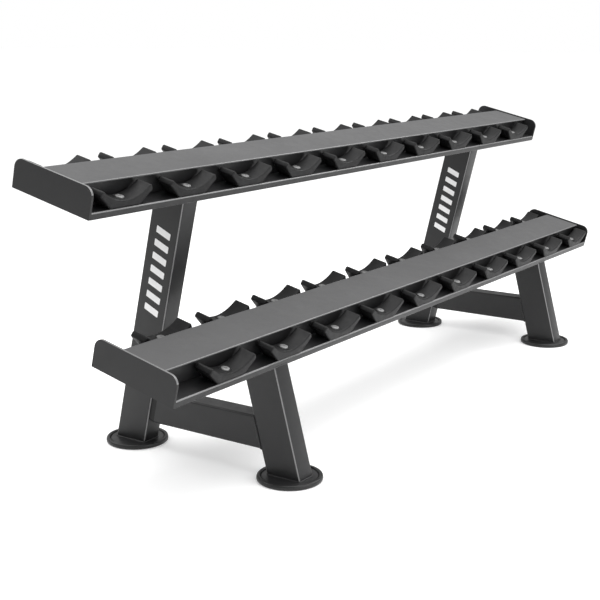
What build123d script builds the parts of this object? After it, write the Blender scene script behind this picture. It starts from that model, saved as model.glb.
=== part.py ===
"""Two-tier dumbbell rack: saddle trays on two bolted side frames.

Frame: +X along the rack, +Y towards its back, +Z up, origin on the floor under the
middle of the rack. Lengths are in millimetres.

Each tray is laid out in its own tilted frame: X along the rack, S across the tray from
its front edge, T square to the tray floor.
"""

import os
from math import cos, radians, sin

from build123d import *

os.makedirs("parts", exist_ok=True)

# ---------------------------------------------------------------- driving dimensions
rack_length = 2450.0
frame_spacing = 1624.0        # between the middle planes of the two side frames
foot_spacing = 516.0          # front foot centre to rear foot centre

# trays
tray_tilt = 13.3              # degrees, rear edge up
tray_depth = 252.0
sheet = 3.0
floor_height = 17.0           # top of the floor above the tray's lower edge
floor_bend = 4.0
flange_height = 17.0          # turned down along the front and rear edges
end_plate_thickness = 6.0
end_plate_height = 76.0
end_plate_corner = 24.0
upper_tray_front = -3.6       # Y of the upper tray's lower front edge
upper_tray_height = 691.2     # Z of the same edge
lower_tray_front = -238.6
lower_tray_height = 293.2

# centre cover and the channel that carries it
cover_front = 48.0            # S of the cover's front edge
cover_width = 129.0
cover_top = 72.0              # T of the cover's top face
cover_sheet = 4.0
cover_edge_round = 1.5
cover_overhang = 13.0         # cover edge to channel wall

# saddles
saddle_count = 10
saddle_width = 178.0
saddle_depth = 48.0
saddle_height = 49.0
saddle_base_width = 100.0
saddle_base_thickness = 18.0
saddle_seat_radius = 122.0
saddle_foot_round = 12.0
saddle_tip_round = 4.0
saddle_edge_margin = 1.0      # saddle face to the tray's front or rear edge
upper_row_gaps = (24.0, 64.0)  # end plate to first and last saddle
lower_row_gaps = (112.0, 8.0)

# frames
tube_depth = 100.0
tube_width = 60.0
tube_wall = 3.0
tube_corner = 6.0
leg_lean = 15.0               # degrees, front leg leans back
cross_height = 86.0
cross_bottom = 74.0
joint_plate = 10.0            # plates in the bolted joint of post and cross member
joint_plate_width = 50.0
joint_plate_height = 92.0
joint_plate_corner = 4.0
cross_bolt_spread = 46.0
top_plate_length = 140.0
top_plate_width = 136.0
top_plate_corner = 10.0
post_plate_s = 98.0           # middle of the post's top plate across the tray
leg_plate_s = 75.0
tray_bolt_spread_x = 100.0
tray_bolt_spread_s = 52.0

# feet
foot_diameter = 170.0
foot_height = 14.0
foot_rim = 11.0
foot_round = 4.0
foot_floor = 6.0              # rubber under the steel disc
disc_thickness = 5.0
disc_clearance = 1.0

# fasteners
m10 = 10.0
m12 = 12.0
hole_clearance = 0.5          # added to a bolt's diameter
button_head_diameter = 23.0
button_head_height = 5.0
head_socket = 6.0
seat_pad_diameter = 27.0
seat_pad_depth = 1.0
nut_width_m10 = 17.0
nut_height_m10 = 8.0
nut_width_m12 = 19.0
nut_height_m12 = 10.0
hex_head_m10 = 6.4
hex_head_m12 = 7.5
bolt_tail = 2.0               # thread showing past a nut
nut_clearance = 3.0           # round hole over a nut's corners
foot_head_diameter = 24.0
foot_head_height = 3.5
foot_head_recess = 4.0
foot_screw_length = 26.0

# ---------------------------------------------------------------- derived places
frame_x = {"left": -frame_spacing / 2, "right": frame_spacing / 2}
tilt = radians(tray_tilt)
lean = radians(leg_lean)
trays = {
    "upper": (upper_tray_front, upper_tray_height, upper_row_gaps),
    "lower": (lower_tray_front, lower_tray_height, lower_row_gaps),
}
inner_length = rack_length - 2 * end_plate_thickness
front_saddle_s = saddle_edge_margin + saddle_depth / 2
rear_saddle_s = tray_depth - saddle_edge_margin - saddle_depth / 2
channel_front = cover_front + cover_overhang
channel_rear = cover_front + cover_width - cover_overhang
channel_middle = (channel_front + channel_rear) / 2
floor_bottom = floor_height - sheet
top_plate_thickness = nut_height_m10 + bolt_tail    # as thick as the saddle nuts hang
nut_hole_radius = nut_width_m10 / 2 + nut_clearance
tube_bottom = foot_floor + disc_thickness


def tray_plane(tier):
    """Tilted plane of a tray: local X, S and T from its lower front edge."""
    front, height, _ = trays[tier]
    return Plane(origin=(0, front, height), x_dir=(1, 0, 0), z_dir=(0, -sin(tilt), cos(tilt)))


def section_plane(tier, x):
    """Plane across a tray at x, for sketches in S and T that are extruded along +X."""
    front, height, _ = trays[tier]
    return Plane(origin=(x, front, height), x_dir=(0, cos(tilt), sin(tilt)), z_dir=(1, 0, 0))


def tray_locations(tier, points):
    """Places given by X, S and T in a tray, turned with the tray."""
    return Locations(*[tray_plane(tier).location * Location(point) for point in points])


def saddle_centres(tier):
    """X of each saddle, spread between the end plates less the tier's two end gaps."""
    left_gap, right_gap = trays[tier][2]
    first = -inner_length / 2 + left_gap + saddle_width / 2
    last = inner_length / 2 - right_gap - saddle_width / 2
    step = (last - first) / (saddle_count - 1)
    return [first + index * step for index in range(saddle_count)]


def saddle_bolt_points(tier, t):
    """Bolt axes of the front and rear saddles of one tray."""
    return [(x, s, t) for x in saddle_centres(tier) for s in (front_saddle_s, rear_saddle_s)]


def tray_bolt_points(t):
    """Bolts that hold a tray to the top plates of both frames."""
    return [
        (x + side * tray_bolt_spread_x / 2, channel_middle + end * tray_bolt_spread_s / 2, t)
        for x in frame_x.values()
        for side in (-1, 1)
        for end in (-1, 1)
    ]


def write(part, name):
    """Label a finished piece and write it as its own node."""
    part.label = name
    export_step(part, f"parts/{name}.step")


# ---------------------------------------------------------------- fasteners
def hex_nut(diameter, width, height):
    """Hexagon nut with its lower face on the origin."""
    with BuildPart() as nut:
        with BuildSketch():
            RegularPolygon(radius=width / 2, side_count=6, major_radius=False)
            Circle((diameter + hole_clearance) / 2, mode=Mode.SUBTRACT)
        extrude(amount=height)
    return nut.part


def hex_bolt(diameter, width, head, grip):
    """Bolt with its head under the origin and its shank along +Z."""
    with BuildPart() as bolt:
        with BuildSketch(Plane.XY.offset(-head)):
            RegularPolygon(radius=width / 2, side_count=6, major_radius=False)
        extrude(amount=head)
        with BuildSketch():
            Circle(diameter / 2)
        extrude(amount=grip)
    return bolt.part


# ---------------------------------------------------------------- trays
def folded_strip(tier, width, top, lip, bend):
    """Inverted sheet channel the length of the tray, its two long edges folded down."""
    with BuildPart() as strip:
        with BuildSketch(section_plane(tier, -inner_length / 2)):
            with BuildLine():
                outer = FilletPolyline(
                    (0, top - lip),
                    (0, top),
                    (width, top),
                    (width, top - lip),
                    radius=bend,
                )
                inner = FilletPolyline(
                    (sheet, top - lip),
                    (sheet, top - sheet),
                    (width - sheet, top - sheet),
                    (width - sheet, top - lip),
                    radius=bend - sheet,
                )
                Line(outer @ 0, inner @ 0)
                Line(outer @ 1, inner @ 1)
            make_face()
        extrude(amount=inner_length)
    return strip.part


for tier in trays:
    # floor: one folded sheet with a flange down its front and rear edges
    with BuildPart() as tray_floor:
        add(folded_strip(tier, tray_depth, floor_height, flange_height, floor_bend))
        with tray_locations(tier, saddle_bolt_points(tier, floor_height)):
            Hole((m10 + hole_clearance) / 2, depth=2 * sheet)
        with tray_locations(tier, tray_bolt_points(floor_height)):
            Hole((m10 + hole_clearance) / 2, depth=2 * sheet)
    write(tray_floor.part, f"tray_floor_{tier}")

    # channel: an upturned U standing on the floor under the cover
    channel_width = channel_rear - channel_front
    channel_height = cover_top - cover_sheet - floor_height
    with BuildPart() as channel:
        with BuildSketch(section_plane(tier, -inner_length / 2)):
            with Locations((channel_middle, floor_height + channel_height / 2)):
                Rectangle(channel_width, channel_height)
            with Locations((channel_middle, floor_height + (channel_height - sheet) / 2)):
                Rectangle(channel_width - 2 * sheet, channel_height - sheet, mode=Mode.SUBTRACT)
        extrude(amount=inner_length)
    write(channel.part, f"cover_channel_{tier}")

    # cover: flat strip with rounded long edges
    with BuildPart() as cover:
        with BuildSketch(section_plane(tier, -inner_length / 2)) as cover_section:
            with Locations((cover_front + cover_width / 2, cover_top - cover_sheet / 2)):
                Rectangle(cover_width, cover_sheet)
            fillet(cover_section.vertices(), radius=cover_edge_round)
        extrude(amount=inner_length)
    write(cover.part, f"cover_{tier}")

    # end plates: both upper corners rounded
    for side, x in (("left", -rack_length / 2), ("right", rack_length / 2 - end_plate_thickness)):
        with BuildPart() as end_plate:
            with BuildSketch(section_plane(tier, x)) as outline:
                with Locations((tray_depth / 2, end_plate_height / 2)):
                    Rectangle(tray_depth, end_plate_height)
                upper_corners = outline.vertices().group_by(Axis.Y)[-1]
                fillet(upper_corners, radius=end_plate_corner)
            extrude(amount=end_plate_thickness)
        write(end_plate.part, f"end_plate_{tier}_{side}")

# ---------------------------------------------------------------- saddles
# one moulded cradle: a narrow foot, flanks that flare to the wings, a dished seat
tip_rise = saddle_height - saddle_base_thickness
seat_half_width = (2 * saddle_seat_radius * tip_rise - tip_rise**2) ** 0.5
foot_edge = saddle_base_width / 2
shoulder_height = 0.7 * saddle_height
with BuildPart() as saddle:
    with BuildSketch(Plane.XZ.offset(-saddle_depth / 2)) as saddle_outline:
        with BuildLine():
            flanks = Polyline(
                (-seat_half_width, saddle_height),
                (-saddle_width / 2, shoulder_height),
                (-foot_edge, 0),
                (foot_edge, 0),
                (saddle_width / 2, shoulder_height),
                (seat_half_width, saddle_height),
            )
            ThreePointArc(flanks @ 1, (0, saddle_base_thickness), flanks @ 0)
        make_face()
        fillet(saddle_outline.vertices().group_by(Axis.Y)[0], radius=saddle_foot_round)
        fillet(saddle_outline.vertices().group_by(Axis.Y)[-1], radius=saddle_tip_round)
    extrude(amount=saddle_depth)
    with Locations((0, 0, saddle_base_thickness - seat_pad_depth)):
        Cylinder(
            seat_pad_diameter / 2,
            saddle_height,
            align=(Align.CENTER, Align.CENTER, Align.MIN),
            mode=Mode.SUBTRACT,
        )
    with Locations((0, 0, saddle_height)):
        Hole((m10 + hole_clearance) / 2, depth=saddle_height)

for tier in trays:
    for index, x in enumerate(saddle_centres(tier), start=1):
        with BuildPart() as saddle_pair:
            with tray_locations(
                tier,
                [(x, front_saddle_s, floor_height), (x, rear_saddle_s, floor_height)],
            ):
                add(saddle.part)
        write(saddle_pair.part, f"saddle_pair_{tier}_{index:02d}")

# button-head bolt: its head seats on the pad, its shank passes saddle and floor
saddle_grip = saddle_base_thickness - seat_pad_depth + sheet
with BuildPart() as saddle_bolt:
    with BuildSketch():
        Circle(button_head_diameter / 2)
    extrude(amount=button_head_height)
    fillet(saddle_bolt.faces().sort_by(Axis.Z)[-1].edges(), radius=0.6 * button_head_height)
    with BuildSketch(Plane.XY.offset(button_head_height)):
        RegularPolygon(radius=head_socket / 2, side_count=6, major_radius=False)
    extrude(amount=-button_head_height / 2, mode=Mode.SUBTRACT)
    with BuildSketch():
        Circle(m10 / 2)
    extrude(amount=-(saddle_grip + nut_height_m10 + bolt_tail))

for tier in trays:
    with BuildPart() as saddle_bolts:
        head_seat = floor_height + saddle_base_thickness - seat_pad_depth
        with tray_locations(tier, saddle_bolt_points(tier, head_seat)):
            add(saddle_bolt.part)
    write(saddle_bolts.part, f"saddle_bolts_{tier}")

# ---------------------------------------------------------------- side frames
def foot_centre(side, end):
    """Floor point under a foot; end is -1 at the front and +1 at the rear."""
    return Vector(frame_x[side], end * foot_spacing / 2, 0)


def tube_plane(side, end):
    """Cross-section plane of a post or leg at its foot, normal up the tube."""
    turn = -tilt if end > 0 else lean
    base = foot_centre(side, end) + Vector(0, 0, tube_bottom)
    return Plane(origin=base, x_dir=(1, 0, 0), z_dir=(0, sin(turn), cos(turn)))


def under_plate_plane(tier):
    """Lower face of the top plates, which lie against the tray floor."""
    return tray_plane(tier).offset(floor_bottom - top_plate_thickness)


def tube_section():
    """Rounded rectangular tube section in the current sketch."""
    RectangleRounded(tube_width, tube_depth, tube_corner)
    RectangleRounded(
        tube_width - 2 * tube_wall,
        tube_depth - 2 * tube_wall,
        tube_corner - tube_wall,
        mode=Mode.SUBTRACT,
    )


long_enough = 2 * upper_tray_height
cross_middle = cross_bottom + cross_height / 2
post_direction = Vector(0, -sin(tilt), cos(tilt))
post_across = Vector(0, cos(tilt), sin(tilt))


def joint_plane(side, depth):
    """Plane parallel to the post's front face, depth in front of it, normal forward.

    The bolts' middle line reaches the cross member's end at its mid height.
    """
    axis_point = tube_plane(side, 1).origin
    joint_depth = tube_depth / 2 + 2 * joint_plate
    along = (cross_middle - axis_point.Z + joint_depth * sin(tilt)) / cos(tilt)
    face = axis_point + post_direction * along - post_across * (tube_depth / 2 + depth)
    return Plane(origin=face, x_dir=(1, 0, 0), z_dir=-post_across)


def cross_bolt_points(side, depth):
    """Through bolts of one bolted joint, on a plane depth in front of the post."""
    plane = joint_plane(side, depth)
    return [plane.location * Location((0, rise * cross_bolt_spread / 2, 0)) for rise in (-1, 1)]


for side in frame_x:
    # rear post: square to the upper tray
    with BuildPart() as rear_post:
        with BuildSketch(tube_plane(side, 1)):
            tube_section()
        extrude(amount=long_enough, both=True)
        split(bisect_by=Plane.XY.offset(tube_bottom), keep=Keep.TOP)
        split(bisect_by=under_plate_plane("upper"), keep=Keep.BOTTOM)
        with Locations(*cross_bolt_points(side, 0)):
            Hole((m12 + hole_clearance) / 2, depth=2 * tube_depth)
    write(rear_post.part, f"rear_post_{side}")

    # front leg: leans back under the lower tray
    with BuildPart() as front_leg:
        with BuildSketch(tube_plane(side, -1)):
            tube_section()
        extrude(amount=long_enough, both=True)
        split(bisect_by=Plane.XY.offset(tube_bottom), keep=Keep.TOP)
        split(bisect_by=under_plate_plane("lower"), keep=Keep.BOTTOM)
    write(front_leg.part, f"front_leg_{side}")

    # cross member: level tube, mitred to the leg and squared to the bolted joint
    leg_back = tube_plane(side, -1).origin + Vector(0, cos(lean), -sin(lean)) * tube_depth / 2
    with BuildPart() as cross_member:
        with BuildSketch(Plane.XZ.offset(foot_spacing)) as cross_section:
            with Locations((frame_x[side], cross_middle)):
                RectangleRounded(tube_width, cross_height, tube_corner)
                RectangleRounded(
                    tube_width - 2 * tube_wall,
                    cross_height - 2 * tube_wall,
                    tube_corner - tube_wall,
                    mode=Mode.SUBTRACT,
                )
        extrude(amount=-2 * foot_spacing)
        split(
            bisect_by=Plane(origin=leg_back, x_dir=(1, 0, 0), z_dir=(0, cos(lean), -sin(lean))),
            keep=Keep.TOP,
        )
        split(bisect_by=joint_plane(side, 2 * joint_plate), keep=Keep.TOP)
    write(cross_member.part, f"cross_member_{side}")

    # the joint's two plates: one welded to the post, one to the cross member
    for name, depth in (("post_pad", 0), ("cross_end_plate", joint_plate)):
        with BuildPart() as plate:
            with BuildSketch(joint_plane(side, depth)):
                RectangleRounded(joint_plate_width, joint_plate_height, joint_plate_corner)
            extrude(amount=joint_plate)
            with Locations(*cross_bolt_points(side, depth + joint_plate)):
                Hole((m12 + hole_clearance) / 2, depth=2 * joint_plate)
        write(plate.part, f"{name}_{side}")

    # top plates between the tubes and the tray floors
    for name, tier, middle in (("post", "upper", post_plate_s), ("leg", "lower", leg_plate_s)):
        with BuildPart() as top_plate:
            with BuildSketch(under_plate_plane(tier)):
                with Locations((frame_x[side], middle)):
                    RectangleRounded(top_plate_width, top_plate_length, top_plate_corner)
            extrude(amount=top_plate_thickness)
            side_bolts = [
                point for point in tray_bolt_points(floor_bottom)
                if (point[0] < 0) == (frame_x[side] < 0)
            ]
            with tray_locations(tier, side_bolts):
                Hole((m10 + hole_clearance) / 2, depth=2 * top_plate_thickness)
            with tray_locations(tier, saddle_bolt_points(tier, floor_bottom)):
                Hole(nut_hole_radius, depth=2 * top_plate_thickness)
        write(top_plate.part, f"{name}_top_plate_{side}")

# ---------------------------------------------------------------- frame fasteners
nut_m10 = hex_nut(m10, nut_width_m10, nut_height_m10)
nut_m12 = hex_nut(m12, nut_width_m12, nut_height_m12)
tray_grip = top_plate_thickness + sheet + nut_height_m10 + bolt_tail
tray_bolt = hex_bolt(m10, nut_width_m10, hex_head_m10, tray_grip)
cross_grip = tube_depth + 2 * joint_plate + nut_height_m12 + bolt_tail
cross_bolt = hex_bolt(m12, nut_width_m12, hex_head_m12, cross_grip)

with BuildPart() as tray_bolts:
    for tier in trays:
        with tray_locations(tier, tray_bolt_points(floor_bottom - top_plate_thickness)):
            add(tray_bolt)
write(tray_bolts.part, "tray_bolts")

# nuts under the saddles hang from the floor; those of the tray bolts stand on it
with BuildPart() as m10_nuts:
    for tier in trays:
        with tray_locations(tier, saddle_bolt_points(tier, floor_bottom - nut_height_m10)):
            add(nut_m10)
        with tray_locations(tier, tray_bolt_points(floor_height)):
            add(nut_m10)
write(m10_nuts.part, "m10_nuts")

# through bolts: heads behind the post, nuts inside the cross member
with BuildPart() as cross_bolts:
    for side in frame_x:
        with Locations(*cross_bolt_points(side, -tube_depth)):
            add(cross_bolt)
write(cross_bolts.part, "cross_bolts")

with BuildPart() as cross_nuts:
    for side in frame_x:
        with Locations(*cross_bolt_points(side, 2 * joint_plate)):
            add(nut_m12)
write(cross_nuts.part, "cross_nuts")

# ---------------------------------------------------------------- feet
disc_radius = foot_diameter / 2 - foot_rim - disc_clearance
with BuildPart() as rubber_foot:
    with BuildSketch(Plane.XZ) as foot_outline:
        with BuildLine():
            Polyline(
                (0, 0),
                (foot_diameter / 2, 0),
                (foot_diameter / 2, foot_height),
                (foot_diameter / 2 - foot_rim, foot_height),
                (foot_diameter / 2 - foot_rim, foot_floor),
                (0, foot_floor),
                close=True,
            )
        make_face()
        fillet(foot_outline.vertices().group_by(Axis.X)[-1], radius=foot_round)
    revolve(axis=Axis.Z)
    with Locations(Plane.XY.rotated((180, 0, 0))):
        CounterBoreHole(
            radius=(m10 + hole_clearance) / 2,
            counter_bore_radius=(foot_head_diameter + 2 * disc_clearance) / 2,
            counter_bore_depth=foot_head_recess,
            depth=foot_floor,
        )

with BuildPart() as base_disc:
    with BuildSketch():
        Circle(disc_radius)
        Circle((m10 + hole_clearance) / 2, mode=Mode.SUBTRACT)
    extrude(amount=disc_thickness)

with BuildPart() as foot_screw:
    with BuildSketch():
        Circle(foot_head_diameter / 2)
    extrude(amount=-foot_head_height)
    with BuildSketch():
        Circle(m10 / 2)
    extrude(amount=foot_screw_length)

feet = [(end_name, end, side) for end_name, end in (("front", -1), ("rear", 1)) for side in frame_x]
for end_name, end, side in feet:
    with BuildPart() as placed_foot:
        with Locations(Location(foot_centre(side, end))):
            add(rubber_foot.part)
    write(placed_foot.part, f"rubber_foot_{end_name}_{side}")
    with BuildPart() as placed_disc:
        with Locations(Location(foot_centre(side, end) + Vector(0, 0, foot_floor))):
            add(base_disc.part)
    write(placed_disc.part, f"base_disc_{end_name}_{side}")

with BuildPart() as foot_screws:
    with Locations(
        *[Location(foot_centre(side, end) + Vector(0, 0, foot_head_recess)) for _, end, side in feet]
    ):
        add(foot_screw.part)
write(foot_screws.part, "foot_screws")
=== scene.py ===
"""Looks of the two-tier dumbbell rack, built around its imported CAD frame. Lengths in metres."""

import bmesh
import bpy
from math import asin, cos, pi, radians, sin, tau
from mathutils import Matrix, Vector


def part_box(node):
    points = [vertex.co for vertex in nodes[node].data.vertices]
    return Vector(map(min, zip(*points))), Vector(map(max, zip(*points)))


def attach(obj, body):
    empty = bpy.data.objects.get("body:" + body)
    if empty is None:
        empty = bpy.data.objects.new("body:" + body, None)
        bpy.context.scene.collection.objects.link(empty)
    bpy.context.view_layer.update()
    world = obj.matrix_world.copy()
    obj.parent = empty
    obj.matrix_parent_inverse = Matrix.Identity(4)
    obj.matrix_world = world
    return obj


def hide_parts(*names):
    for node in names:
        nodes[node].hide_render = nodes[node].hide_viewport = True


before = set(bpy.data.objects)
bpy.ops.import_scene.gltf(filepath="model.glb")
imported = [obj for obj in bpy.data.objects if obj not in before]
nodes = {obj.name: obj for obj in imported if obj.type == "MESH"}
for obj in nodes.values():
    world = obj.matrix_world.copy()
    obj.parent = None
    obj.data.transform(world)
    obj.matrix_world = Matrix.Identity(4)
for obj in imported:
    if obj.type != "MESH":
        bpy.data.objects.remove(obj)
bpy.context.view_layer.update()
MM = 0.001

# ------------------------------------------------------------------ shared sizes
TILT = radians(13.3)
LEAN = radians(15.0)
TIERS = ("upper", "lower")
SIDES = ("left", "right")
END_PLATE_HEIGHT = 76 * MM
END_PLATE_CORNER = 24 * MM
TRAY_DEPTH = 252 * MM
SHEET = 3 * MM
FLOOR_TOP = 17 * MM
FLOOR_BOTTOM = 14 * MM
SADDLE_COUNT = 10
SADDLE_DEPTH = 48 * MM
SADDLE_S = (25 * MM, 227 * MM)
SADDLE_BASE = 18 * MM
SADDLE_HEIGHT = 49 * MM
TOP_PLATE = 10 * MM
M10_FLATS = 17 * MM
M10_NUT_HEIGHT = 8 * MM
M10_NUT_HOLE = 5.1 * MM
M10_RADIUS = 5 * MM
THREAD_LENGTH = 12 * MM
THREAD_PITCH = 1.5 * MM
TUBE_WIDTH = 60 * MM
TUBE_DEPTH = 100 * MM
TUBE_CORNER = 6 * MM


def middle(node):
    """Middle of a node's box."""
    low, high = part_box(node)
    return (Vector(low) + Vector(high)) / 2


def tray_matrix(tier):
    """Tray frame: X along the rack, Y across the tray from its front edge, Z square to its floor."""
    low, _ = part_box(f"end_plate_{tier}_left")
    turn = Matrix.Rotation(TILT, 4, "X")
    turn.translation = Vector((0, low[1] + END_PLATE_HEIGHT * sin(TILT), low[2]))
    return turn


TRAY = {tier: tray_matrix(tier) for tier in TIERS}
SADDLE_X = {
    tier: [middle(f"saddle_pair_{tier}_{i:02d}").x for i in range(1, SADDLE_COUNT + 1)]
    for tier in TIERS
}
FRAME_X = {side: middle(f"rear_post_{side}").x for side in SIDES}


# ------------------------------------------------------------------ materials
class Nodes:
    """A small helper that adds and links shader nodes."""

    def __init__(self, name):
        self.material = bpy.data.materials.new(name)
        self.material.use_nodes = True
        self.tree = self.material.node_tree
        self.shader = self.tree.nodes["Principled BSDF"]

    def add(self, kind, **settings):
        node = self.tree.nodes.new(kind)
        for key, value in settings.items():
            setattr(node, key, value)
        return node

    def link(self, source, target):
        self.tree.links.new(source, target)

    def place(self):
        return self.add("ShaderNodeNewGeometry").outputs["Position"]

    def noise(self, scale, detail=3.0, rough=0.5, stretch=None, distortion=0.0):
        node = self.add("ShaderNodeTexNoise")
        node.inputs["Scale"].default_value = scale
        node.inputs["Detail"].default_value = detail
        node.inputs["Roughness"].default_value = rough
        node.inputs["Distortion"].default_value = distortion
        place = self.place()
        if stretch:
            mapping = self.add("ShaderNodeMapping")
            mapping.inputs["Scale"].default_value = stretch
            self.link(place, mapping.inputs["Vector"])
            place = mapping.outputs["Vector"]
        self.link(place, node.inputs["Vector"])
        return node.outputs["Fac"]

    def cells(self, scale):
        node = self.add("ShaderNodeTexVoronoi")
        node.inputs["Scale"].default_value = scale
        self.link(self.place(), node.inputs["Vector"])
        return node.outputs["Distance"]

    def span(self, value, low, high, to_low, to_high):
        node = self.add("ShaderNodeMapRange")
        for key, number in (("From Min", low), ("From Max", high), ("To Min", to_low), ("To Max", to_high)):
            node.inputs[key].default_value = number
        self.link(value, node.inputs["Value"])
        return node.outputs["Result"]

    def ramp(self, value, stops):
        node = self.add("ShaderNodeValToRGB")
        elements = node.color_ramp.elements
        while len(elements) < len(stops):
            elements.new(0.5)
        for element, (place, colour) in zip(elements, stops):
            element.position = place
            element.color = (*colour, 1)
        self.link(value, node.inputs["Fac"])
        return node.outputs["Color"]

    def mix(self, factor, first, second, blend="MIX"):
        node = self.add("ShaderNodeMix", data_type="RGBA", blend_type=blend)
        for value, target in ((factor, 0), (first, 6), (second, 7)):
            if hasattr(value, "links"):
                self.link(value, node.inputs[target])
            elif target:
                node.inputs[target].default_value = (*value, 1)
            else:
                node.inputs[target].default_value = value
        return node.outputs[2]

    def bump(self, height, strength, distance, normal=None):
        node = self.add("ShaderNodeBump")
        node.inputs["Strength"].default_value = strength
        node.inputs["Distance"].default_value = distance
        self.link(height, node.inputs["Height"])
        if normal:
            self.link(normal, node.inputs["Normal"])
        return node.outputs["Normal"]

    def finish(self, colour, roughness, normal, **constants):
        self.link(colour, self.shader.inputs["Base Color"])
        self.link(roughness, self.shader.inputs["Roughness"])
        self.link(normal, self.shader.inputs["Normal"])
        for key, value in constants.items():
            self.shader.inputs[key.replace("_", " ")].default_value = value
        return self.material


def shade(colour, factor):
    return tuple(channel * factor for channel in colour)


def powder_coat(name, colour, roughness, specular=0.5):
    """Fine-textured powder coat: pigment mottling, orange peel, faint handling marks."""
    n = Nodes(name)
    mottle = n.ramp(n.noise(5, 4, 0.6), ((0.3, shade(colour, 0.94)), (0.7, shade(colour, 1.06))))
    speckle = n.span(n.noise(900, 2, 0.6), 0.35, 0.75, 0.86, 1.18)
    grain = n.mix(1.0, mottle, speckle, "MULTIPLY")
    scuffs = n.span(n.noise(9, 6, 0.72, stretch=(0.35, 1.6, 1.6), distortion=0.6), 0.66, 0.80, 0.0, 0.10)
    coated = n.mix(scuffs, grain, shade(colour, 1.7))
    gloss = n.span(n.noise(34, 5, 0.62), 0.3, 0.7, roughness - 0.05, roughness + 0.06)
    peel = n.bump(n.noise(330, 2, 0.45), 0.10, 0.0006)
    tooth = n.bump(n.noise(1500, 2, 0.6), 0.16, 0.00018, peel)
    return n.finish(coated, gloss, tooth, Specular_IOR_Level=specular)


def moulded_plastic(name, colour, roughness):
    """Matt black moulded polymer with a spark-eroded grain and a few rub marks."""
    n = Nodes(name)
    tone = n.ramp(n.noise(14, 4, 0.6), ((0.3, shade(colour, 0.88)), (0.7, shade(colour, 1.14))))
    rub = n.span(n.noise(26, 7, 0.75, stretch=(1.0, 0.45, 1.0), distortion=0.8), 0.60, 0.74, 0.0, 0.35)
    rubbed = n.mix(rub, tone, shade(colour, 1.9))
    gloss = n.span(n.noise(60, 4, 0.6), 0.3, 0.7, roughness - 0.06, roughness + 0.07)
    pits = n.bump(n.cells(900), 0.22, 0.0003)
    flow = n.bump(n.noise(120, 3, 0.5), 0.06, 0.0007, pits)
    return n.finish(rubbed, gloss, flow, Specular_IOR_Level=0.24)


def rubber_finish(name, colour, roughness):
    """Moulded rubber with a dusty bloom and fine pitting."""
    n = Nodes(name)
    bloom = n.ramp(n.noise(38, 6, 0.7), ((0.35, shade(colour, 0.85)), (0.75, shade(colour, 1.5))))
    gloss = n.span(n.noise(80, 4, 0.6), 0.3, 0.7, roughness - 0.08, roughness + 0.08)
    pits = n.bump(n.cells(650), 0.18, 0.0004)
    return n.finish(bloom, gloss, pits, Specular_IOR_Level=0.4)


def plated_steel(name, colour, roughness):
    """Zinc plate: a soft spangle, turned marks and slight tarnish."""
    n = Nodes(name)
    spangle = n.ramp(n.cells(420), ((0.0, shade(colour, 0.82)), (1.0, shade(colour, 1.12))))
    stain = n.span(n.noise(160, 5, 0.7), 0.55, 0.75, 0.0, 0.4)
    tarnished = n.mix(stain, spangle, shade(colour, 0.55))
    gloss = n.span(n.noise(300, 4, 0.6), 0.3, 0.7, roughness - 0.07, roughness + 0.09)
    marks = n.bump(n.noise(1300, 2, 0.5), 0.15, 0.0002)
    return n.finish(tarnished, gloss, marks, Metallic=1.0)


def printed_film(name, colour):
    """Thin white printed film with fine print grain and worn specks."""
    n = Nodes(name)
    tone = n.ramp(n.noise(70, 5, 0.65), ((0.3, shade(colour, 0.93)), (0.7, colour)))
    specks = n.span(n.noise(700, 4, 0.7), 0.66, 0.76, 0.0, 0.5)
    worn = n.mix(specks, tone, shade(colour, 0.35))
    gloss = n.span(n.noise(90, 3, 0.6), 0.3, 0.7, 0.38, 0.5)
    weave = n.bump(n.noise(1200, 2, 0.5), 0.08, 0.0001)
    return n.finish(worn, gloss, weave, Specular_IOR_Level=0.4)


FRAME_COAT = powder_coat("frame_coat", (0.013, 0.013, 0.0135), 0.38, 0.36)
TRAY_COAT = powder_coat("tray_coat", (0.0105, 0.0105, 0.011), 0.38, 0.32)
# Much lighter copy of the dark powder coat on the covers: painted light, standing in for the light that
# falls on their tops.
LIT_COVER_COAT = powder_coat("cover_coat_painted_light", (0.092, 0.092, 0.093), 0.52, 0.10)
# Lighter coat on eased edges, bend middles, tube corners and up-facing rims: a painted highlight for the
# light caught by rounded edges.
EDGE_HIGHLIGHT_COAT = powder_coat("painted_edge_highlight", (0.17, 0.17, 0.172), 0.30, 0.5)
# Near-black coat on the post pads and cross end plates: painted shade for the shadowed gap where the cross
# member meets the post.
PAINTED_SHADE_COAT = powder_coat("painted_shade_coat", (0.006, 0.006, 0.006), 0.45, 0.25)
SADDLE_PLASTIC = moulded_plastic("saddle_plastic", (0.0055, 0.0055, 0.0058), 0.52)
FOOT_RUBBER = rubber_finish("foot_rubber", (0.006, 0.006, 0.0062), 0.42)
BRIGHT_ZINC = plated_steel("bright_zinc", (0.25, 0.25, 0.25), 0.60)
BLACK_ZINC = plated_steel("black_zinc", (0.12, 0.12, 0.125), 0.40)
WHITE_FILM = printed_film("white_film", (0.80, 0.80, 0.80))


# ------------------------------------------------------------------ mesh tools
def finish_piece(name, bm, material, replaced=(), smooth=35, edge=None):
    """Turn a bmesh into a visible piece that rides on the rack's one body.

    edge is (material, test): faces whose normal passes the test take that material; the callers pass the
    lighter coat that paints highlights on edges, bends and corners.
    """
    mesh = bpy.data.meshes.new(name)
    bmesh.ops.recalc_face_normals(bm, faces=bm.faces)
    if edge:
        bm.normal_update()
        for face in bm.faces:
            face.material_index = int(edge[1](face.normal))
    bm.to_mesh(mesh)
    bm.free()
    mesh.materials.append(material)
    if edge:
        mesh.materials.append(edge[0])
    mesh.shade_smooth()
    mesh.set_sharp_from_angle(angle=radians(smooth))
    place_piece(name, mesh, replaced)


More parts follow.
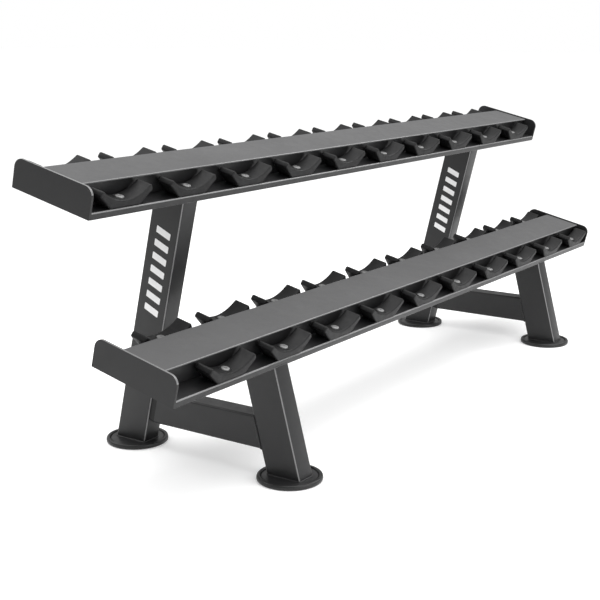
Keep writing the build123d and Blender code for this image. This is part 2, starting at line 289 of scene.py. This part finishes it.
def place_piece(name, mesh, replaced=(), matrix=None):
    """Add a mesh to the scene as a piece of the rack, in place of its CAD nodes."""
    piece = bpy.data.objects.new(name, mesh)
    bpy.context.scene.collection.objects.link(piece)
    if matrix:
        piece.matrix_world = matrix
    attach(piece, "root")
    if replaced:
        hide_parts(*replaced)


def prism(bm, outline, low, high, matrix=Matrix()):
    """Solid between two copies of an outline; its points are (x, z), swept along y."""
    rows = [[bm.verts.new(matrix @ Vector((x, y, z))) for x, z in outline] for y in (low, high)]
    count = len(outline)
    bm.faces.new(rows[0])
    bm.faces.new(reversed(rows[1]))
    for i in range(count):
        j = (i + 1) % count
        bm.faces.new((rows[0][j], rows[0][i], rows[1][i], rows[1][j]))


def in_mm(*rings):
    """Rings for lathe, given in millimetres."""
    return [(ring[0] * MM, ring[1] * MM, *ring[2:]) for ring in rings]


def lathe(bm, rings, matrix=Matrix(), segments=24):
    """Turned solid. Each ring is (radius, z) or (across flats / 2, z, 6) for a hexagon."""
    loops = []
    for ring in rings:
        loop = []
        for k in range(segments):
            angle = tau * k / segments
            radius = ring[0]
            if len(ring) == 3:
                radius = ring[0] / cos((angle + pi / 6) % (pi / 3) - pi / 6)
            loop.append(bm.verts.new(matrix @ Vector((radius * cos(angle), radius * sin(angle), ring[1]))))
        loops.append(loop)
    for below, above in zip(loops, loops[1:]):
        for k in range(segments):
            j = (k + 1) % segments
            bm.faces.new((below[k], below[j], above[j], above[k]))
    bm.faces.new(reversed(loops[0]))
    bm.faces.new(loops[-1])


def round_corners(points, radii, steps=5):
    """Outline with each corner rounded by its own radius."""
    out = []
    count = len(points)
    for i, (point, radius) in enumerate(zip(points, radii)):
        here = Vector(point)
        if radius <= 0:
            out.append(here)
            continue
        before = (Vector(points[i - 1]) - here).normalized()
        after = (Vector(points[(i + 1) % count]) - here).normalized()
        half = before.angle(after) / 2
        centre = here + (before + after).normalized() * radius / sin(half)
        reach = radius * cos(half) / sin(half)
        start = here + before * reach - centre
        end = here + after * reach - centre
        for step in range(steps + 1):
            share = step / steps
            arm = start.slerp(end, share).normalized() * radius
            out.append(centre + arm)
    return [(p.x, p.y) for p in out]


def bevel_all(bm, width, segments=2, angle=40):
    """Round every edge sharper than an angle."""
    edges = [e for e in bm.edges if len(e.link_faces) == 2 and e.calc_face_angle() > radians(angle)]
    bmesh.ops.bevel(bm, geom=edges, offset=width, segments=segments, profile=0.5, affect="EDGES")


# ------------------------------------------------------------------ saddles
def saddle_outline():
    """Front outline of a saddle: a narrow foot, flaring flanks and a dished seat."""
    half, foot, shoulder = 89 * MM, 50 * MM, 34.3 * MM
    foot_round, tip_round, tip_land = 12 * MM, 5 * MM, 6.5 * MM
    seat_radius = 122 * MM
    seat_steps = 28
    rise = SADDLE_HEIGHT - SADDLE_BASE
    reach = asin((2 * seat_radius * rise - rise * rise) ** 0.5 / seat_radius)
    tip = seat_radius * sin(reach)
    first = reach - tip_land / seat_radius
    seat = []
    for k in range(seat_steps + 1):
        turn = first - 2 * first * k / seat_steps
        seat.append((seat_radius * sin(turn), SADDLE_BASE + seat_radius * (1 - cos(turn))))
    points = [(-foot, 0), (foot, 0), (half, shoulder), (tip, SADDLE_HEIGHT)]
    points += [*seat, (-tip, SADDLE_HEIGHT), (-half, shoulder)]
    radii = [foot_round] * 2 + [tip_round] * 2 + [0] * len(seat) + [tip_round] * 2
    return round_corners(points, radii, 6)


def inset(outline, depth):
    """Outline moved inward by a depth; it runs anticlockwise."""
    sharpest = 0.75    # limits how far a corner point moves
    moved = []
    count = len(outline)
    for i in range(count):
        before, here, after = (Vector(outline[j % count]) for j in (i - 1, i, i + 1))
        first = (here - before).normalized()
        second = (after - here).normalized()
        inward = Vector((-first.y - second.y, first.x + second.x)).normalized()
        lean = max(sharpest, inward.dot(Vector((-first.y, first.x))))
        point = here + inward * depth / lean
        moved.append((point.x, point.y))
    return moved


def saddle_mesh():
    """Front and rear saddle of one place, in the tray's own frame about X = 0."""
    bm = bmesh.new()
    outline = [(x, z + FLOOR_TOP) for x, z in saddle_outline()]
    edge, edge_steps = 4.2 * MM, 6
    collar = in_mm((17.0, -1.5), (17.0, 0.9), (16.4, 1.4), (14.6, 1.4), (13.7, 0.6))
    for s in SADDLE_S:
        rings = []
        low, high = s - SADDLE_DEPTH / 2, s + SADDLE_DEPTH / 2
        for k in range(edge_steps + 1):
            turn = pi / 2 * k / edge_steps
            rings.append((low + edge * (1 - cos(turn)), edge * (1 - sin(turn))))
        rings += [(low + high - y, depth) for y, depth in reversed(rings)]
        loops = [[bm.verts.new((x, y, z)) for x, z in inset(outline, depth)] for y, depth in rings]
        count = len(outline)
        bm.faces.new(loops[0])
        bm.faces.new(reversed(loops[-1]))
        for a, b in zip(loops, loops[1:]):
            for i in range(count):
                j = (i + 1) % count
                bm.faces.new((a[j], a[i], b[i], b[j]))
        top = FLOOR_TOP + SADDLE_BASE
        lathe(bm, [(radius, top + z) for radius, z in collar], Matrix.Translation((0, s, 0)), 36)
    bmesh.ops.recalc_face_normals(bm, faces=bm.faces)
    mesh = bpy.data.meshes.new("saddles")
    bm.to_mesh(mesh)
    bm.free()
    mesh.materials.append(SADDLE_PLASTIC)
    mesh.shade_smooth()
    mesh.set_sharp_from_angle(angle=radians(32))
    return mesh


saddles = saddle_mesh()
for tier in TIERS:
    for i, x in enumerate(SADDLE_X[tier], start=1):
        matrix = TRAY[tier] @ Matrix.Translation((x, 0, 0))
        place_piece(f"saddles.{tier}.{i:02d}", saddles, (f"saddle_pair_{tier}_{i:02d}",), matrix)


# ------------------------------------------------------------------ fasteners
def threaded_shank(bm, matrix, top, root):
    """M10 shank: a threaded end running down from top, and a plain stretch up to root."""
    rings = []
    turns = int(THREAD_LENGTH / THREAD_PITCH)
    groove = 0.55 * THREAD_PITCH
    chamfer = 0.8 * MM
    for k in range(turns):
        z = top - k * THREAD_PITCH
        rings.append((M10_RADIUS, z))
        rings.append((M10_RADIUS - groove, z - THREAD_PITCH / 2))
    end = top - turns * THREAD_PITCH
    rings.append((M10_RADIUS, end))
    rings.append((M10_RADIUS - 0.8 * THREAD_PITCH, end - chamfer))
    lathe(bm, [*reversed(rings), (M10_RADIUS, root)], matrix, 12)


def saddle_bolt(bm, matrix):
    """Button head on a washer, a shallow hexagon socket, a plain shank and a threaded end."""
    washer = in_mm((12.6, -0.1), (13.0, 0.15), (13.0, 0.75), (12.6, 1.0))
    lathe(bm, washer, matrix, 32)
    head = in_mm(
        (5.0, 0.5), (11.2, 0.9), (11.5, 1.5), (11.4, 2.6), (10.6, 3.9),
        (8.8, 4.75), (6.4, 5.0), (3.3, 5.0, 6), (3.0, 4.7, 6), (3.0, 3.9, 6),
    )
    lathe(bm, head, matrix, 24)
    threaded_shank(bm, matrix, -17 * MM, 0.4 * MM)


def hex_nut(bm, matrix):
    """Chamfered M10 hexagon nut standing on the matrix's origin."""
    half = M10_FLATS / 2
    sink, ease, chamfer = 0.6 * MM, 0.55 * MM, 1.1 * MM
    lower = [(M10_NUT_HOLE, sink), (half * 0.97, 0), (half * 0.985, ease, 6), (half, chamfer, 6)]
    upper = [(radius, M10_NUT_HEIGHT - z, *sides) for radius, z, *sides in reversed(lower)]
    lathe(bm, lower + upper, matrix, 24)


def hex_bolt(bm, matrix):
    """M10 bolt with its hexagon head under the origin and its threaded end up."""
    half = M10_FLATS / 2
    height = 6.4 * MM
    ease, chamfer = 0.6 * MM, 1.0 * MM
    head = [(half * 0.9, -height), (half * 0.98, ease - height, 6), (half, chamfer - height, 6)]
    head += [(half, -ease, 6), (half * 0.95, 0)]
    lathe(bm, head, matrix, 24)
    flip = Matrix.Scale(-1, 4, (0, 0, 1))
    threaded_shank(bm, matrix @ flip, -9 * MM, 0)


TRAY_BOLT_SPREAD = (50 * MM, 26 * MM)
CHANNEL_MIDDLE = 112.5 * MM
HEAD_SEAT = FLOOR_TOP + SADDLE_BASE - 1 * MM


def tray_bolt_places(tier):
    """Four bolts through a tray at each of its two frames."""
    along, across = TRAY_BOLT_SPREAD
    return [
        TRAY[tier] @ Matrix.Translation((x + i * along, CHANNEL_MIDDLE + j * across, 0))
        for x in FRAME_X.values()
        for i in (-1, 1)
        for j in (-1, 1)
    ]


def saddle_places(tier):
    """Bolt axes of one tray's saddles."""
    return [TRAY[tier] @ Matrix.Translation((x, s, 0)) for x in SADDLE_X[tier] for s in SADDLE_S]


def up(height):
    return Matrix.Translation((0, 0, height))


for tier in TIERS:
    bm = bmesh.new()
    for k, place in enumerate(saddle_places(tier)):
        turn = Matrix.Rotation(0.4 * k, 4, "Z")
        saddle_bolt(bm, place @ up(HEAD_SEAT) @ turn)
    finish_piece(f"saddle_bolts.{tier}", bm, BRIGHT_ZINC, (f"saddle_bolts_{tier}",), 30)

bm = bmesh.new()
for tier in TIERS:
    for k, place in enumerate(saddle_places(tier)):
        turn = Matrix.Rotation(0.7 * k, 4, "Z")
        hex_nut(bm, place @ up(FLOOR_BOTTOM - M10_NUT_HEIGHT) @ turn)
    for k, place in enumerate(tray_bolt_places(tier)):
        turn = Matrix.Rotation(0.5 * k, 4, "Z")
        hex_nut(bm, place @ up(FLOOR_TOP) @ turn)
finish_piece("nuts.m10", bm, BLACK_ZINC, ("m10_nuts",), 30)

bm = bmesh.new()
for tier in TIERS:
    for k, place in enumerate(tray_bolt_places(tier)):
        turn = Matrix.Rotation(0.9 * k, 4, "Z")
        hex_bolt(bm, place @ up(FLOOR_BOTTOM - TOP_PLATE) @ turn)
finish_piece("bolts.tray", bm, BLACK_ZINC, ("tray_bolts",), 30)


# ------------------------------------------------------------------ sheet and plate parts
SWAP = Matrix(((0, 1, 0, 0), (1, 0, 0, 0), (0, 0, 1, 0), (0, 0, 0, 1)))
ACROSS = Vector((0, cos(TILT), sin(TILT)))
SQUARE = Vector((0, -sin(TILT), cos(TILT)))


def on_bend_highlight(normal):
    """True on the middle of a bend that runs along the rack, where the lighter coat paints a highlight."""
    least_turn = 0.30
    return min(abs(normal.dot(ACROSS)), abs(normal.dot(SQUARE))) > least_turn


def on_rim_highlight(normal):
    """True on an end plate's eased edges and on the rim that faces up, where the lighter coat paints a
    highlight.
    """
    off_face = abs(normal.x) < 0.96
    eased = abs(normal.x) > 0.3
    facing_up = normal.dot(SQUARE) > 0.25
    return off_face and (eased or facing_up)


def end_plate(tier, side):
    """Flat plate with two rounded upper corners and eased edges; the edges and top rim carry a painted
    highlight.
    """
    low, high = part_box(f"end_plate_{tier}_{side}")
    bm = bmesh.new()
    outline = round_corners(
        [(0, 0), (TRAY_DEPTH, 0), (TRAY_DEPTH, END_PLATE_HEIGHT), (0, END_PLATE_HEIGHT)],
        [1.5 * MM, 1.5 * MM, END_PLATE_CORNER, END_PLATE_CORNER],
        10,
    )
    prism(bm, outline, low[0], high[0], TRAY[tier] @ SWAP)
    bevel_all(bm, 0.9 * MM, 3)
    # The eased edges and top rim take the lighter coat: a painted highlight.
    edge = (EDGE_HIGHLIGHT_COAT, on_rim_highlight)
    node = f"end_plate_{tier}_{side}"
    finish_piece(f"end_plate.{tier}.{side}", bm, TRAY_COAT, (node,), 30, edge)


def long_part(name, tier, outline, material, node):
    """Part of one section the length of the tray; its bends carry a painted highlight."""
    low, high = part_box(node)
    bm = bmesh.new()
    prism(bm, outline, low[0], high[0], TRAY[tier] @ SWAP)
    finish_piece(name, bm, material, (node,), 30, (EDGE_HIGHLIGHT_COAT, on_bend_highlight))


COVER = (48 * MM, 177 * MM, 68 * MM, 72 * MM)    # front, rear, underside and top
for tier in TIERS:
    for side in SIDES:
        end_plate(tier, side)
    inner = TRAY_DEPTH - SHEET
    folded = [
        (0, 0), (SHEET, 0), (SHEET, FLOOR_BOTTOM), (inner, FLOOR_BOTTOM),
        (inner, 0), (TRAY_DEPTH, 0), (TRAY_DEPTH, FLOOR_TOP), (0, FLOOR_TOP),
    ]
    cut, inside, outside = 0.5 * MM, 1 * MM, 4 * MM
    bends = [cut, cut, inside, inside, cut, cut, outside, outside]
    section = round_corners(folded, bends, 6)
    long_part(f"floor.{tier}", tier, section, TRAY_COAT, f"tray_floor_{tier}")
    front, rear, below, above = COVER
    strip = [(front, below), (rear, below), (rear, above), (front, above)]
    strip = round_corners(strip, [1.0 * MM, 1.0 * MM, 2.2 * MM, 2.2 * MM], 6)
    # The covers take the lighter coat: painted light on their tops.
    long_part(f"cover.{tier}", tier, strip, LIT_COVER_COAT, f"cover_{tier}")


# ------------------------------------------------------------------ feet
def foot(end, side):
    """Rubber foot with a rolled rim round a dished steel disc."""
    centre = middle(f"rubber_foot_{end}_{side}")
    here = Matrix.Translation((centre.x, centre.y, 0))
    bm = bmesh.new()
    rubber = in_mm(
        (14, 4), (13.5, 0.3), (14.5, 0), (78, 0), (82, 0.6), (84.4, 2.4),
        (85, 4.4), (85, 8), (84.6, 10.6), (83.2, 12.8), (80.8, 13.8),
        (78.6, 13.9), (76.2, 13.2), (74.8, 11.6), (74.4, 9.5), (74.2, 6.2), (20, 6),
    )
    lathe(bm, rubber, here, 72)
    finish_piece(f"foot.{end}.{side}", bm, FOOT_RUBBER, (f"rubber_foot_{end}_{side}",), 40)
    bm = bmesh.new()
    disc = in_mm(
        (6, 6.1), (71.6, 6.1), (72.8, 7.2), (73, 9.4), (72.2, 10.6), (70.6, 11), (30, 11)
    )
    lathe(bm, disc, here, 72)
    finish_piece(f"disc.{end}.{side}", bm, FRAME_COAT, (f"base_disc_{end}_{side}",), 40)


for end in ("front", "rear"):
    for side in SIDES:
        foot(end, side)

# ------------------------------------------------------------------ finishes of the kept nodes
KEPT = {
    "cross_member": FRAME_COAT,
    # The post pads and cross end plates take the near-black coat: painted shade in the gap at the post.
    "post_pad": PAINTED_SHADE_COAT,
    "cross_end_plate": PAINTED_SHADE_COAT,
    "post_top_plate": FRAME_COAT,
    "leg_top_plate": FRAME_COAT,
    "cover_channel": TRAY_COAT,
    "cross_bolts": BLACK_ZINC,
    "cross_nuts": BLACK_ZINC,
    "foot_screws": BLACK_ZINC,
}
for name, node in nodes.items():
    for start, material in KEPT.items():
        if name.startswith(start) and node.type == "MESH":
            for slot in node.material_slots:
                slot.material = material


# ------------------------------------------------------------------ tubes and weld beads
def bead(bm, matrix, width, depth, radius=2.6 * MM, corner=TUBE_CORNER):
    """Rippled weld bead round a rounded rectangle in the matrix's XY plane."""
    spacing, sides = 1.6 * MM, 8
    half_w, half_d = width / 2, depth / 2
    corners = [(-half_w, -half_d), (half_w, -half_d), (half_w, half_d), (-half_w, half_d)]
    path = [Vector(p) for p in round_corners(corners, [corner] * 4, 5)]
    points = []
    for here, after in zip(path, path[1:] + path[:1]):
        steps = max(1, round((after - here).length / spacing))
        points += [here.lerp(after, k / steps) for k in range(steps)]
    count = len(points)
    loops = []
    for i, point in enumerate(points):
        run = (points[(i + 1) % count] - points[i - 1]).normalized()
        out = Vector((run.y, -run.x))
        size = radius * (0.88 + 0.12 * abs(sin(i * 0.9)) + 0.05 * sin(i * 0.37))
        loop = []
        for k in range(sides):
            turn = tau * k / sides
            skin = point + out * size * cos(turn)
            loop.append(bm.verts.new(matrix @ Vector((skin.x, skin.y, size * sin(turn)))))
        loops.append(loop)
    for i in range(count):
        a, b = loops[i], loops[(i + 1) % count]
        for k in range(sides):
            j = (k + 1) % sides
            bm.faces.new((a[k], a[j], b[j], b[k]))


def axes(origin, across, normal):
    """Matrix with Y across, Z along the normal and X along the rack."""
    turn = Matrix((Vector((1, 0, 0)), across, normal)).transposed().to_4x4()
    turn.translation = origin
    return turn


DISC_TOP = 11 * MM
LEG_UP = Vector((0, sin(LEAN), cos(LEAN)))
LEG_ACROSS = Vector((0, cos(LEAN), -sin(LEAN)))


def tube_foot(end, side):
    """Where a tube's middle line meets the top of its foot's disc."""
    centre = middle(f"rubber_foot_{end}_{side}")
    return Vector((centre.x, centre.y, DISC_TOP))


def tube(name, start, end_point, end_normal, up_axis, across_axis, node):
    """Rectangular tube with rounded corners between the floor disc and its top plate; the corners carry a
    painted highlight.
    """
    half_w, half_d = TUBE_WIDTH / 2, TUBE_DEPTH / 2
    corners = [(-half_w, -half_d), (half_w, -half_d), (half_w, half_d), (-half_w, half_d)]
    outline = round_corners(corners, [TUBE_CORNER] * 4, 6)
    bm = bmesh.new()
    loops = []
    for point, normal in ((start, Vector((0, 0, 1))), (end_point, end_normal)):
        loop = []
        for x, depth in outline:
            here = start + Vector((x, 0, 0)) + across_axis * depth
            reach = (point - here).dot(normal) / up_axis.dot(normal)
            loop.append(bm.verts.new(here + up_axis * reach))
        loops.append(loop)
    bm.faces.new(reversed(loops[0]))
    bm.faces.new(loops[1])
    for i in range(len(outline)):
        j = (i + 1) % len(outline)
        bm.faces.new((loops[0][i], loops[0][j], loops[1][j], loops[1][i]))

    # Rounded tube corners take the lighter coat: a painted highlight.
    def on_corner_highlight(normal):
        least_turn = 0.42
        return min(abs(normal.x), abs(normal.dot(across_axis))) > least_turn

    finish_piece(name, bm, FRAME_COAT, (node,), 30, (EDGE_HIGHLIGHT_COAT, on_corner_highlight))


for side in SIDES:
    rear = tube_foot("rear", side)
    front = tube_foot("front", side)
    bm = bmesh.new()
    bead(bm, Matrix.Translation(rear), TUBE_WIDTH, TUBE_DEPTH / cos(TILT))
    bead(bm, Matrix.Translation(front), TUBE_WIDTH, TUBE_DEPTH / cos(LEAN))
    for tier, start, up_axis, across_axis, node in (
        ("upper", rear, SQUARE, ACROSS, f"rear_post_{side}"),
        ("lower", front, LEG_UP, LEG_ACROSS, f"front_leg_{side}"),
    ):
        into = TRAY[tier].inverted()
        local = into @ start
        run = into.to_3x3() @ up_axis
        reach = (FLOOR_BOTTOM - TOP_PLATE - local.z) / run.z
        meet = local + run * reach
        bead(bm, TRAY[tier] @ Matrix.Translation(meet), TUBE_WIDTH, TUBE_DEPTH / run.z)
        tube(node.replace("_", "."), start, TRAY[tier] @ meet, SQUARE, up_axis, across_axis, node)
    low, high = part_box(f"cross_member_{side}")
    level = (low[2] + high[2]) / 2
    back = front + LEG_ACROSS * TUBE_DEPTH / 2
    back += LEG_UP * (level - back.z) / cos(LEAN)
    bead(bm, axes(back, LEG_UP, -LEG_ACROSS), TUBE_WIDTH, (high[2] - low[2]) / cos(LEAN))
    finish_piece(f"welds.{side}", bm, FRAME_COAT, smooth=60)

# ------------------------------------------------------------------ plain slanted bars on the posts
BAR_COUNT = 7
BAR_FIRST = 375 * MM                 # along the post from its foot
BAR_STEP = 36 * MM
BAR_HEIGHT = 18 * MM
BAR_SLANT = 10 * MM
BAR_ACROSS = (-26 * MM, 22 * MM)     # from the post's middle line
BAR_CORNER = 2 * MM
BAR_PROUD = 0.35 * MM
BAR_SUNK = 0.1 * MM

for side in SIDES:
    rear = tube_foot("rear", side)
    low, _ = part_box(f"rear_post_{side}")
    near, far = BAR_ACROSS
    bm = bmesh.new()
    for k in range(BAR_COUNT):
        start = BAR_FIRST + BAR_STEP * k
        raised = start + BAR_SLANT
        corners = [(near, start), (far, raised), (far, raised + BAR_HEIGHT), (near, start + BAR_HEIGHT)]
        bar = round_corners(corners, [BAR_CORNER] * 4, 3)
        loops = []
        for x in (low[0] - BAR_PROUD, low[0] + BAR_SUNK):
            loops.append([])
            for across, along in bar:
                place = rear + ACROSS * across + SQUARE * along
                loops[-1].append(bm.verts.new((x, place.y, place.z)))
        bm.faces.new(loops[0])
        bm.faces.new(reversed(loops[1]))
        for i in range(len(bar)):
            j = (i + 1) % len(bar)
            bm.faces.new((loops[0][j], loops[0][i], loops[1][i], loops[1][j]))
    finish_piece(f"bars.{side}", bm, WHITE_FILM, smooth=30)

# ------------------------------------------------------------------ stage, lights, camera
FLOOR_REACH = 60
bm = bmesh.new()
bmesh.ops.create_grid(bm, x_segments=4, y_segments=4, size=FLOOR_REACH)
mesh = bpy.data.meshes.new("studio_floor")
bm.to_mesh(mesh)
bm.free()
floor = bpy.data.objects.new("studio_floor", mesh)
bpy.context.scene.collection.objects.link(floor)
pale = Nodes("pale_floor")
pale.finish(
    pale.ramp(pale.noise(1.5, 2, 0.5), ((0.3, (0.90, 0.90, 0.90)), (0.7, (0.92, 0.92, 0.92)))),
    pale.span(pale.noise(2, 2, 0.5), 0.3, 0.7, 0.88, 0.92),
    pale.bump(pale.noise(40, 2, 0.5), 0.02, 0.0005),
    Specular_IOR_Level=0.1,
    Emission_Color=(1, 1, 1, 1),
    Emission_Strength=0.24,
)
mesh.materials.append(pale.material)


def softbox(name, place, aim, size, power):
    """Rectangular area light aimed at a point."""
    data = bpy.data.lights.new(name, "AREA")
    data.shape = "RECTANGLE"
    data.size, data.size_y = size
    data.energy = power
    lamp = bpy.data.objects.new(name, data)
    bpy.context.scene.collection.objects.link(lamp)
    lamp.location = place
    lamp.rotation_euler = (Vector(aim) - Vector(place)).to_track_quat("-Z", "Y").to_euler()


softbox("overhead", (-0.3, -0.4, 3.2), (0.0, -0.1, 0.4), (4.6, 2.4), 82)
softbox("front", (-0.6, -4.2, 1.5), (0.0, -0.2, 0.4), (3.0, 1.6), 72)
softbox("back", (-1.2, 2.9, 2.6), (0.0, 0.0, 0.6), (3.0, 0.7), 34)
softbox("right", (2.7, -1.1, 2.7), (0.0, 0.0, 0.5), (1.4, 1.2), 34)

# world: lighter towards the zenith, and plain white where the camera sees it directly
HORIZON_STRENGTH = 0.28
ZENITH_STRENGTH = 1.05
ZENITH_HEIGHT = 0.75    # Z of a unit direction from which the sky is at its brightest
world = bpy.data.worlds.new("studio")
world.use_nodes = True
tree = world.node_tree
sky = tree.nodes["Background"]
sky.inputs["Color"].default_value = (1, 1, 1, 1)
direction = tree.nodes.new("ShaderNodeTexCoord")
height = tree.nodes.new("ShaderNodeSeparateXYZ")
rise = tree.nodes.new("ShaderNodeMapRange")
seen = tree.nodes.new("ShaderNodeLightPath")
brighter = tree.nodes.new("ShaderNodeMath")
brighter.operation = "MAXIMUM"
tree.links.new(direction.outputs["Generated"], height.inputs["Vector"])
tree.links.new(height.outputs["Z"], rise.inputs["Value"])
rise.inputs["From Max"].default_value = ZENITH_HEIGHT
rise.inputs["To Min"].default_value = HORIZON_STRENGTH
rise.inputs["To Max"].default_value = ZENITH_STRENGTH
tree.links.new(rise.outputs["Result"], brighter.inputs[0])
tree.links.new(seen.outputs["Is Camera Ray"], brighter.inputs[1])
tree.links.new(brighter.outputs["Value"], sky.inputs["Strength"])
bpy.context.scene.world = world
bpy.context.scene.view_settings.view_transform = "Standard"

CAMERA_AT = (-3.0800, -1.8459, 1.1013)
CAMERA_YAW = 0.9693      # radians from +Y towards +X
CAMERA_PITCH = 0.2258    # radians below level
CAMERA_LENS = 69.7
CAMERA_SENSOR = 36.0
camera_data = bpy.data.cameras.new("camera")
camera_data.sensor_width = CAMERA_SENSOR
camera_data.lens = CAMERA_LENS
camera = bpy.data.objects.new("camera", camera_data)
bpy.context.scene.collection.objects.link(camera)
level = cos(CAMERA_PITCH)
forward = Vector((sin(CAMERA_YAW) * level, cos(CAMERA_YAW) * level, -sin(CAMERA_PITCH)))
camera.rotation_euler = forward.to_track_quat("-Z", "Y").to_euler()
camera.location = CAMERA_AT
bpy.context.scene.camera = camera
